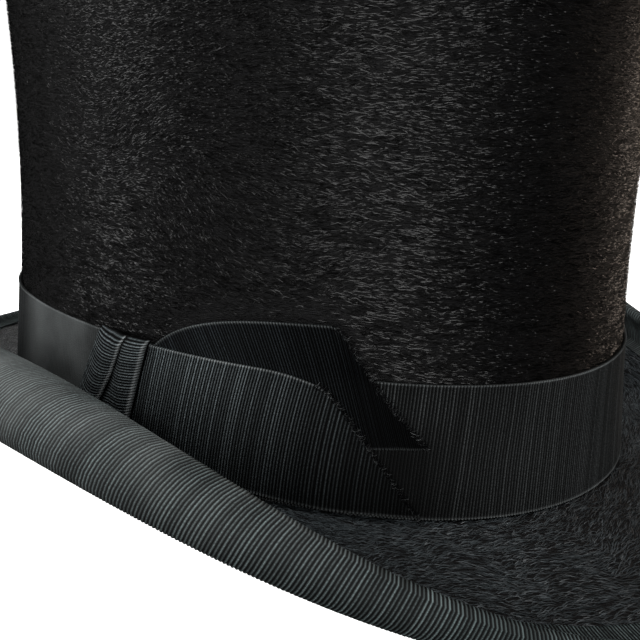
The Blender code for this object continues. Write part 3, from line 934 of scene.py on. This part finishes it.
def make_band(material):
    """The ribbon round the crown."""
    rng = np.random.default_rng(71)
    ribs = round(CROWN_OVAL.length / BAND_RIB_PITCH)
    place, relief = rib_columns(ribs, RIB_PHASES, rng)
    relief = relief[:, None]
    arcs = (place * CROWN_OVAL.length / ribs)[:, None]
    foot = mix(BAND_FOOT_END, BAND_FOOT, side_share(CROWN_OVAL.angle(arcs)))
    level = selvedge_rows(BAND_HEIGHT, 12)[None, :]
    rows = mix(foot, BAND_HEIGHT, level)
    wander = 0.0003 * patches(arcs, rows, 0.012, 72) + 0.1 * rows
    near = np.minimum(rows - foot, BAND_HEIGHT - rows)
    # ribs pressed flat in the mesh, and a painted sheen in the colour and tone
    flat_sheen = np.exp(-(((arcs - CROWN_OVAL.length + FLAT_SHEEN_PLACE) / 0.022) ** 4))
    rise = rib_rise(relief * (1 - 0.75 * flat_sheen), near)
    rise = rise + 0.00008 * patches(arcs, rows, 0.02, 73)
    outer = crown(CROWN_OVAL.angle(arcs + wander), rows, BAND_WALL[0] - rise)
    lining_rows = mix(BAND_HEIGHT, foot, np.linspace(0, 1, 5)[None, :])
    inner = crown(CROWN_OVAL.angle(arcs), lining_rows, BAND_WALL[1])
    heights = side_by_side(rows, lining_rows)
    # painted shadow of the tails' ends on the band's lower part
    under_tails = np.exp(-(((arcs - TAIL_SHADOW_PLACE) / 0.010) ** 2))
    tail_shadow = under_tails * np.clip((0.024 - heights) / 0.010, 0, 1)
    crest = mix(relief, 0.75, flat_sheen) * (1 - 0.3 * tail_shadow)
    cloth = vectors(arcs, heights, crest)
    near = side_by_side(near, np.ones_like(lining_rows))
    tone = ribbon_tone(near, relief) + 0.8 * flat_sheen
    return ring("band_ribbon", side_by_side(outer, inner), material, cloth, tone)


def climb(distance, length):
    return 1 - np.exp(-np.maximum(distance, 0) / length)


def soft_least(first, second, blur):
    """The lesser of two heights, with the corner where they cross rounded off."""
    gap = np.maximum(blur - np.abs(first - second), 0) / blur
    return np.minimum(first, second) - gap**2 * blur / 4


def front_tail_edges(distance):
    """The front tail's lower and upper edge. It droops a little before its cut."""
    lower = np.maximum(0.0009, 0.0042 - 0.07 * distance)
    share = (FRONT_TAIL_LENGTH - distance) / (FRONT_TAIL_LENGTH - FRONT_CUT_START)
    droop = 0.0011 * np.clip((distance - 0.028) / 0.010, 0, 2.0) ** 2
    return lower, soft_least(FRONT_TAIL_TOP - droop, FRONT_TAIL_TOP * share, 0.003)


def back_tail_edges(distance):
    """The back tail's lower and upper edge. It climbs above the band, and its cut is hollow."""
    lower = mix(0.0035, BACK_TAIL_TIP, climb(distance, 0.018))
    edge = BAND_HEIGHT + BACK_TAIL_RISE * climb(distance, BACK_TAIL_RISE_LENGTH)
    share = (BACK_TAIL_LENGTH - distance) / (BACK_TAIL_LENGTH - BACK_CUT_START)
    cut = mix(BACK_TAIL_TIP, BAND_HEIGHT + BACK_TAIL_RISE, share)
    hollow = 0.0022 * np.sin(np.pi * np.clip(share, 0, 1))
    return lower, soft_least(edge, cut - hollow, 0.003)


def back_tail_lift(height):
    return BACK_TAIL_LIFT * np.maximum(0, height - FRONT_TAIL_TOP - GAP)


def front_tail_lean(distance, height):
    return 0.05 * height + 3.5 * height**2


def back_tail_lean(distance, height):
    return -height * (0.27 + 0.2 * np.exp(-np.maximum(distance, 0) / 0.020))


class Tail(NamedTuple):
    """One end of the bow's ribbon. edges gives its lower and upper edge at a distance from the
    knot, lift how far it stands off the crown, and lean how its ribs run."""

    length: float
    cut_start: float
    edges: Callable
    wall: tuple
    lift: Callable
    lean: Callable


FRONT_TAIL = Tail(
    FRONT_TAIL_LENGTH, FRONT_CUT_START, front_tail_edges, FRONT_TAIL_WALL, np.zeros_like, front_tail_lean
)
BACK_TAIL = Tail(
    BACK_TAIL_LENGTH, BACK_CUT_START, back_tail_edges, BACK_TAIL_WALL, back_tail_lift, back_tail_lean
)


def painted_tail_shade(distance, height, length):
    """Painted shade on a tail: black near its cut end and in the corner by the knot, and darker towards
    its foot, below the brim's roll.
    """
    from_end = np.clip((length - distance) / 0.050, 0, 1) ** 1.5
    from_corner = np.clip(np.hypot(distance * 0.9, height) / 0.016, 0, 1) ** 3
    return (0.06 + 0.94 * from_end) * (0.05 + 0.95 * from_corner) * mix(0.45, 1.0, height / BAND_HEIGHT)


def make_tail(name, tail, seed, material):
    """A ribbon end laid on the band. Its ribs end unevenly along the slanting cut."""
    rng = np.random.default_rng(seed)
    ribs = round((tail.length - TAIL_START) / TAIL_RIB_PITCH)
    place, relief = rib_columns(ribs, FINE_PHASES, rng)
    distance = TAIL_START + place * (tail.length - TAIL_START) / ribs
    low, high = tail.edges(distance)
    ragged = rng.uniform(-0.0005, 0.0002, ribs)[np.floor(place).astype(int)]
    high = np.maximum(high + np.where(distance > tail.cut_start, ragged, 0), low + 0.0007)
    distance, relief, low, high = (column[:, None] for column in (distance, relief, low, high))
    middle_shares = np.linspace(0, 1, 26)[1:-1]
    share = np.concatenate([[0, 0.006, 0.014, 0.026], middle_shares, [0.974, 0.986, 0.994, 1]])
    rows = mix(low, high, share)
    near = np.minimum(rows - low, high - rows)
    frayed = (distance > tail.cut_start + 0.003) & (rows > low + 0.002)
    near = np.where(frayed, 1.0, near)
    rise = rib_rise(relief, near)
    arcs = distance + tail.lean(distance, rows) - tail.lean(distance, high)
    wave = 0.00018 * patches(arcs, rows, 0.012, seed + 1)
    angles = CROWN_OVAL.angle(arcs)
    outer = crown(angles, rows, tail.wall[0] - tail.lift(rows) - rise - np.maximum(wave, 0))
    back_rows = rows[:, ::-5]
    inner = crown(angles[:, ::-5], back_rows, tail.wall[1] - tail.lift(back_rows))
    heights = side_by_side(rows, back_rows)
    near = side_by_side(near, np.ones_like(back_rows))
    # the tail's colour and tone carry this painted shade
    painted_shade = painted_tail_shade(distance, heights, tail.length)
    cloth = vectors(distance, heights, relief * painted_shade ** (1 / RIB_SHARPNESS))
    tone = ribbon_tone(near, relief) * painted_shade**0.5
    return strip(name, side_by_side(outer, inner), material, cloth, tone)


def make_frays(name, tail, seed, material):
    """Loose warp threads along a tail's cut end."""
    rng = np.random.default_rng(seed)
    distance = mix(tail.cut_start, tail.length, rng.uniform(-0.06, 1.0, FRAYED_THREADS))
    height = tail.edges(distance)[1] - rng.uniform(0, 0.0012, FRAYED_THREADS)

    def surface(arc, level, rise):
        return crown(CROWN_OVAL.angle(arc), level, tail.wall[0] - tail.lift(level) - rise)

    heading = 0.6 + rng.normal(0, 0.6, FRAYED_THREADS)
    shade = rng.uniform(0.0, 1.0, FRAYED_THREADS) ** 12
    return add_nap(name, surface, distance, height, heading, rng, FRAY_HAIR, material, shade)


def make_knot(material):
    """Two pleats of ribbon over the inner ends of the tails. The ribs run across them."""
    rng = np.random.default_rng(91)
    ribs = round((KNOT_TOP - KNOT_FOOT) / KNOT_RIB_PITCH)
    place, relief = rib_columns(ribs, FINE_PHASES, rng, (0.92, 1.04))
    heights = KNOT_FOOT + place * (KNOT_TOP - KNOT_FOOT) / ribs
    heights = np.append(heights, KNOT_TOP)[None, :]
    relief = np.append(relief, 0.0)[None, :]
    share = np.linspace(0, 1, 113)[:, None]
    drop = KNOT_TOP - heights
    front_edge = -KNOT_WIDTH - KNOT_FRONT_LEAN * drop
    distance = mix(front_edge, -KNOT_REAR_LEAN * drop, share)
    over_tails = np.clip((distance - 2 * TAIL_START) / -TAIL_START + 0.5, 0, 1)
    bed = mix(BACK_TAIL_WALL[1], -GAP, over_tails)
    valley = KNOT_VALLEY - KNOT_VALLEY_LEAN * drop
    on_first = share < valley
    across = np.where(on_first, share / valley, (share - valley) / (1 - valley))
    swell = (1 - (1 - across) ** 3) * np.sqrt(1 - np.clip(across, 0, 1) ** 12)
    bowed = 0.0012 * np.sin(np.pi * across) + 0.0018 * (across - 0.5)
    slant = np.where(on_first, bowed, -0.0015 * across)
    level = heights - slant * np.sin(np.pi * np.clip((heights - KNOT_FOOT) / 0.03, 0, 1)) ** 0.4
    tucked = np.sqrt(np.clip(drop / 0.0022, 0.04, 1))
    rise = KNOT_RIBBON + KNOT_PLEAT * swell + relief * RIB_DEPTH - RIB_SINK
    angles = CROWN_OVAL.angle(distance)
    outer = crown(angles, level, bed - rise * tucked)
    inner = crown(angles, level, bed)[:, ::-1][:, ::16]
    back_levels = level[:, ::-1][:, ::16]
    # Painted shadow: black on the second pleat beside the first one's rim, and along the knot's foot
    pleat_shadow = np.where(on_first, 0.0, np.exp(-((across / 0.20) ** 4)))
    clear_of_foot_shadow = np.clip((level - KNOT_FOOT - 0.0022) / 0.001, 0, 1)
    painted_shade = np.clip((1 - pleat_shadow) * clear_of_foot_shadow, 0, 1) ** (1 / RIB_SHARPNESS)
    depth = side_by_side(relief * painted_shade, 0 * back_levels)
    cloth = vectors(side_by_side(level, back_levels), share * KNOT_WIDTH, depth)
    # Painted highlight along each pleat's rim
    rim_highlight = np.exp(-(((1 - across) * np.where(on_first, valley, 1 - valley) / 0.016 - 1.2) ** 2))
    tone = side_by_side(relief * 0.7 * rim_highlight * clear_of_foot_shadow, 0 * back_levels)
    return strip("knot_ribbon", side_by_side(outer, inner), material, cloth, tone)


# ---------------------------------------------------------------- inside


def make_lining_side(material):
    """Satin round the inside of the crown, with the slight puckers of its hand sewing."""
    angles = round_angles(480)
    heights = np.linspace(LINING_FOOT, TIP_LEVEL - GAP, 40)[None, :]
    arcs = CROWN_OVAL.arc(angles)
    pucker = np.sin(arcs / CROWN_OVAL.length * math.tau * 46 + 3 * patches(arcs, 0.0, 0.04, 101))
    loose = np.sin(np.pi * np.clip((heights - 0.046) / 0.1, 0, 1))
    fold = 0.0005 * loose * pucker + 0.0004 * loose
    outer = crown(angles, heights, LINING_WALL[0] + fold)
    inner = crown(angles, heights[:, ::-1], LINING_WALL[1] + fold[:, ::-1])
    cloth = vectors(arcs, side_by_side(heights, heights[:, ::-1]), 0.0)
    return ring("lining_side_satin", side_by_side(outer, inner), material, cloth)


def make_lining_tip(material):
    """The satin under the tip, gathered into its edge."""
    angles = turns(360)
    level = BRIM_DIP + TIP_LEVEL
    sag = 0.0012
    thick = 0.0005

    def rings_at(height, shares):
        rings = []
        for share in shares:
            gather = 0.0005 * share**4 * np.sin(angles * 70) * (share < 0.99)
            edge = crown(angles, TIP_LEVEL, LINING_WALL[0]) * np.array([share, share, 0])
            rings.append(edge + vectors(0.0, 0.0, height - sag * (1 - share**2) + gather))
        return rings

    shares = (0.1, 0.3, 0.5, 0.65, 0.75, 0.84, 0.91, 0.96, 1.0)
    rings = np.stack(rings_at(level, shares) + rings_at(level + thick, shares[::-1]))
    centres = (0, 0, level - sag), (0, 0, level + thick - sag)
    return disc("lining_tip_satin", rings, *centres, material)


def make_sweatband(material):
    """The leather band inside the crown's foot, worn a little uneven."""
    angles = round_angles(480)
    foot = UNDER_PLY[1] - BRIM_STACK
    heights = np.linspace(foot, SWEATBAND_HEIGHT, 30)[None, :]
    arcs = CROWN_OVAL.arc(angles)
    worn = 0.00015 * patches(arcs, heights, 0.014, 111)
    outer = crown(angles, heights, LEATHER_WALL[0])
    inner_heights = heights[:, ::-1]
    rounding = 0.0003 * np.exp(-((inner_heights - SWEATBAND_HEIGHT) / 0.0006) ** 2)
    inner = crown(angles, inner_heights, LEATHER_WALL[1] + worn[:, ::-1] - rounding)
    cloth = vectors(arcs, side_by_side(heights, inner_heights), 0.0)
    return ring("sweatband_leather", side_by_side(outer, inner), material, cloth)


def make_reed(material):
    """The covered cord along the sweatband's lower edge, whipped with fine turns."""
    whippings = 620
    angles = round_angles(whippings * 3)
    level = UNDER_PLY[1] - BRIM_STACK - GAP - REED_RADIUS
    middle = (LEATHER_WALL[0] + LEATHER_WALL[1]) / 2
    turn = turns(10)[None, :]
    radius = REED_RADIUS * (0.94 + 0.06 * np.cos(angles * whippings + turn))
    sections = crown(angles, level + radius * np.sin(turn), middle + radius * np.cos(turn))
    cloth = vectors(CROWN_OVAL.arc(angles), turn * REED_RADIUS, 0.0)
    return ring("reed_cover", sections, material, cloth)


def make_stitches(name, height, depth, pitch, length, lean, material):
    """A row of short stitches round the inside of the hat, each a bent thread."""
    count = round(CROWN_OVAL.length / pitch)
    rings, sides = 7, 8
    along = np.linspace(-1, 1, rings)[None, :, None]
    turn = turns(sides)[None, None, :]
    radius = 0.00019 * np.sqrt(np.clip(1 - along**4, 0.02, 1))
    arcs = (np.arange(count) * pitch)[:, None, None] + along * length / 2
    rise = depth + 0.00012 * (1 - along**2)
    levels = height + lean * along * length / 2 + radius * np.sin(turn)
    points = crown(CROWN_OVAL.angle(arcs), levels, rise + radius * np.cos(turn))
    quads = grid_faces(rings, sides, False, True)
    around = np.arange(sides)
    ends = np.stack([around, around[::-1] + (rings - 1) * sides])
    first = (np.arange(count) * rings * sides)[:, None, None]
    faces = [(first + group).reshape(-1, group.shape[1]) for group in (quads, ends)]
    return orient(add_mesh(name, points, faces, material))


def make_sweat_bow(material):
    """The small flat bow over the sweatband's joint: two loops drawn in by a knot."""
    share = np.linspace(-1, 1, 97)[:, None]
    across = np.linspace(-1, 1, 21)[None, :]
    loop = np.sin(np.pi * np.minimum(np.abs(share), 0.9)) ** 0.7
    half = SWEAT_BOW_HALF_HEIGHT * (0.35 + 0.65 * loop)
    knot = np.exp(-((share / 0.13) ** 4))
    half = half + 0.0006 * knot
    folds = 0.00013 * np.cos(across * 9) * (1 - knot) * np.clip(2 - 2.4 * np.abs(share), 0, 1)
    thick = 0.0012 * (1 - 0.5 * np.abs(share)) + 0.0005 * knot
    swell = thick * (1 - 0.7 * across**2) + folds
    angles = math.pi / 2 + share * SWEAT_BOW_HALF_LENGTH / OVAL_HALF_WIDTH
    near = LEATHER_WALL[1] + 2 * GAP
    outer = crown(angles, SWEAT_BOW_LEVEL + half * across, near)
    inner = crown(angles, SWEAT_BOW_LEVEL + half * across[:, ::-1], near + swell[:, ::-1])
    flat_place = side_by_side(across, across[:, ::-1]) * SWEAT_BOW_HALF_HEIGHT
    cloth = vectors(share * SWEAT_BOW_HALF_LENGTH, flat_place, 0.0)
    return strip("sweat_bow_ribbon", side_by_side(outer, inner), material, cloth)


# ---------------------------------------------------------------- stage, camera and lights


def make_floor():
    """A plain pale floor, whose glow is kept off the hat."""
    finish = Finish("pale_floor", Roughness=0.8, Specular_IOR_Level=0.1)
    finish.shader.inputs["Emission Color"].default_value = (1, 1, 1, 1)
    finish.shader.inputs["Emission Strength"].default_value = FLOOR_GLOW
    grain = finish.noise(40)
    finish.colour(grain, (0.93, 0.93, 0.93), (0.97, 0.97, 0.97))
    angles = turns(96)
    points = vectors(FLOOR_RADIUS * np.cos(angles), FLOOR_RADIUS * np.sin(angles), 0.0)
    floor = add_mesh("floor", points, [np.arange(len(angles))[None, :]], finish.material)
    floor.visible_diffuse = False
    floor.visible_glossy = False
    floor.visible_shadow = False
    floor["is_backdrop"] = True


def facing(azimuth, elevation):
    """Directions back and to the right of something that faces the hat from there."""
    flat_length = math.cos(elevation)
    back = np.array(
        [flat_length * math.cos(azimuth), flat_length * math.sin(azimuth), math.sin(elevation)]
    )
    return back, np.array([-math.sin(azimuth), math.cos(azimuth), 0.0])


def stand(data, back, right, place):
    """An object at a place, turned to those directions."""
    item = bpy.data.objects.new(data.name, data)
    up = np.cross(back, right)
    rows = [[right[i], up[i], back[i], place[i]] for i in range(3)]
    item.matrix_world = Matrix([*rows, [0, 0, 0, 1]])
    bpy.context.scene.collection.objects.link(item)
    return item


def make_camera():
    back, level = facing(CAMERA_AZIMUTH, CAMERA_ELEVATION)
    right = level * math.cos(CAMERA_ROLL) + np.cross(back, level) * math.sin(CAMERA_ROLL)
    data = bpy.data.cameras.new("camera")
    data.sensor_width = 36
    data.lens = CAMERA_LENS
    data.shift_x, data.shift_y = CAMERA_SHIFT
    data.clip_start = 0.01
    place = CAMERA_TARGET + back * CAMERA_DISTANCE
    bpy.context.scene.camera = stand(data, back, right, place)


def softbox(name, azimuth, elevation, distance, size, watts, colour):
    """A rectangular area light that faces the hat. size is (width, height)."""
    data = bpy.data.lights.new(name, "AREA")
    data.shape = "RECTANGLE"
    data.size, data.size_y = size
    data.energy = watts
    data.color = colour
    back, right = facing(math.radians(azimuth), math.radians(elevation))
    stand(data, back, right, back * distance + np.array([0, 0, LIGHTS_LEVEL]))


def make_lights():
    """Soft lights in a dim studio. Its backdrop is white to the camera only."""
    world = bpy.data.worlds.new("studio")
    world.use_nodes = True
    nodes = world.node_tree.nodes
    seen = nodes.new("ShaderNodeLightPath").outputs["Is Camera Ray"]
    strength = nodes.new("ShaderNodeMapRange")
    strength.inputs["To Min"].default_value = ROOM_LIGHT
    strength.inputs["To Max"].default_value = BACKDROP_LIGHT
    world.node_tree.links.new(seen, strength.inputs["Value"])
    background = nodes["Background"]
    background.inputs["Color"].default_value = (1, 1, 1, 1)
    world.node_tree.links.new(strength.outputs["Result"], background.inputs["Strength"])
    bpy.context.scene.world = world
    bpy.context.scene.view_settings.view_transform = "Standard"
    for light in LIGHTS:
        softbox(*light)


# ---------------------------------------------------------------- assembly


def put(piece, slot, *nodes):
    """The piece rides on the hat and stands for some CAD nodes, which are hidden. slot is not used."""
    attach(piece, "root")
    if nodes:
        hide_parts(*nodes)


def build_covers():
    """Plush and cloth."""
    ground = plush_ground("plush_ground")
    silk = plush_hair("silk_nap", JET, (0.0024, 0.0023, 0.0022), 0.26, 0.02)
    bright = plush_hair("bright_nap", JET, (0.0060, 0.0057, 0.0053), 0.26, 0.15)
    # the brim's pile is lighter and bluer than the crown's, partly its own colour and partly painted
    # light
    short = plush_hair("brim_silk_nap", (0.0006, 0.0007, 0.0008), (0.038, 0.046, 0.050), 0.45, 0.3)
    put(make_crown_cover(ground), "plush", "crown_plush")
    for nap in make_crown_nap((bright, silk)):
        put(nap, "plush")
    put(make_tip_cover(ground), "plush", "tip_plush")
    put(make_tip_nap(silk), "plush")
    put(make_brim_cover(ground), "brim_plush", "brim_top_plush")
    put(make_brim_nap(short), "brim_plush")
    put(make_under_cloth(felted_cloth("under_felt")), "under_cloth", "brim_under_cloth")


def build_ribbons():
    """Binding, band and bow."""
    edge = grosgrain(
        "binding_grosgrain", (0.064, 0.083, 0.083), (0.30, 0.315, 0.31), (0.0004, 0.0005, 0.0005), 0.05
    )
    band = grosgrain("band_grosgrain", (0.029, 0.0315, 0.032), (0.07, 0.075, 0.075))
    tail = grosgrain("tail_grosgrain", (0.100, 0.118, 0.124), (0.14, 0.149, 0.149))
    # a shaded copy of the tail ribbon: its darker colours are painted shade
    shaded = grosgrain("back_tail_painted_shade_grosgrain", (0.013, 0.016, 0.0185), (0.07, 0.076, 0.076), JET, 0.02)
    total = round(BRIM_OVAL.length / BINDING_RIB_PITCH / 2) * 2
    for i, name in enumerate(("binding_left", "binding_right")):
        piece = make_binding(name, i * total // 2, total // 2, total, edge)
        put(piece, "binding_ribbon", *(["brim_binding"] if i == 0 else []))
    put(make_band(band), "band_ribbon", "hat_band")
    put(make_tail("back_tail_ribbon", BACK_TAIL, 85, shaded), "band_ribbon", "bow_back_tail")
    put(make_tail("front_tail_ribbon", FRONT_TAIL, 81, tail), "band_ribbon", "bow_front_tail")
    # a copy of the tail ribbon whose worn colour gives the pleats' rims their painted highlight
    pleats = grosgrain("knot_grosgrain", (0.094, 0.110, 0.115), (0.20, 0.212, 0.212))
    put(make_knot(pleats), "band_ribbon", "bow_knot")
    fluff = plush_hair("frayed_threads", (0.0004, 0.0004, 0.0005), (0.06, 0.063, 0.063), 0.7, 0.02)
    put(make_frays("front_tail_fray", FRONT_TAIL, 121, fluff), "band_ribbon")
    put(make_frays("back_tail_fray", BACK_TAIL, 122, fluff), "band_ribbon")


def build_inside():
    """Lining and sweatband."""
    ivory = satin("ivory_satin", (0.50, 0.46, 0.37), (0.76, 0.72, 0.62))
    black = satin("black_satin", (0.008, 0.008, 0.009), (0.03, 0.03, 0.032), 0.3)
    tan = leather("tan_leather", (0.20, 0.095, 0.042), (0.36, 0.19, 0.09))
    side = make_lining_side(ivory)
    tip = make_lining_tip(ivory)
    put(side, "lining_satin", "lining_side")
    put(tip, "lining_satin", "lining_tip")
    put(make_sweatband(tan), "sweatband_leather", "sweatband")
    reed = leather("reed_leather", (0.18, 0.085, 0.04), (0.30, 0.15, 0.07))
    put(make_reed(reed), "reed_cover", "sweatband_reed")
    put(make_sweat_bow(black), "sweatband_bow_ribbon", "sweatband_bow")
    pale = thread("waxed_thread", (0.62, 0.52, 0.36))
    stitches = make_stitches(
        "sweatband_stitches", 0.0012, LEATHER_WALL[1] + 0.0001, 0.0042, 0.0026, 0.25, pale
    )
    put(stitches, "sweatband_leather")


def finish_shells():
    """The stiff pieces keep their CAD shape, in a new material."""
    amber = goss("shellac_goss", (0.11, 0.06, 0.022), (0.26, 0.16, 0.07))
    black = goss("black_goss", (0.0012, 0.0012, 0.0013), (0.005, 0.005, 0.0055))
    shells = {"crown_shell": black, "tip_shell": amber, "brim_shell": black, "brim_collar": black}
    for name, material in shells.items():
        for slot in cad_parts[name].material_slots:
            slot.material = material


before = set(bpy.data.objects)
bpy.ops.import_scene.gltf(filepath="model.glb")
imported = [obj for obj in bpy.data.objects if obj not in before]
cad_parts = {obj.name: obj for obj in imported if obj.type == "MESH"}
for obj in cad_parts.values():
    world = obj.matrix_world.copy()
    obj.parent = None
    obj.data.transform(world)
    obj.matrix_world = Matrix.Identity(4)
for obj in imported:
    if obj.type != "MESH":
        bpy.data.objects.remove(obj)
cad_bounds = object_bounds()
make_camera()
make_lights()
make_floor()
build_covers()
build_ribbons()
build_inside()
finish_shells()
save_size(cad_bounds)
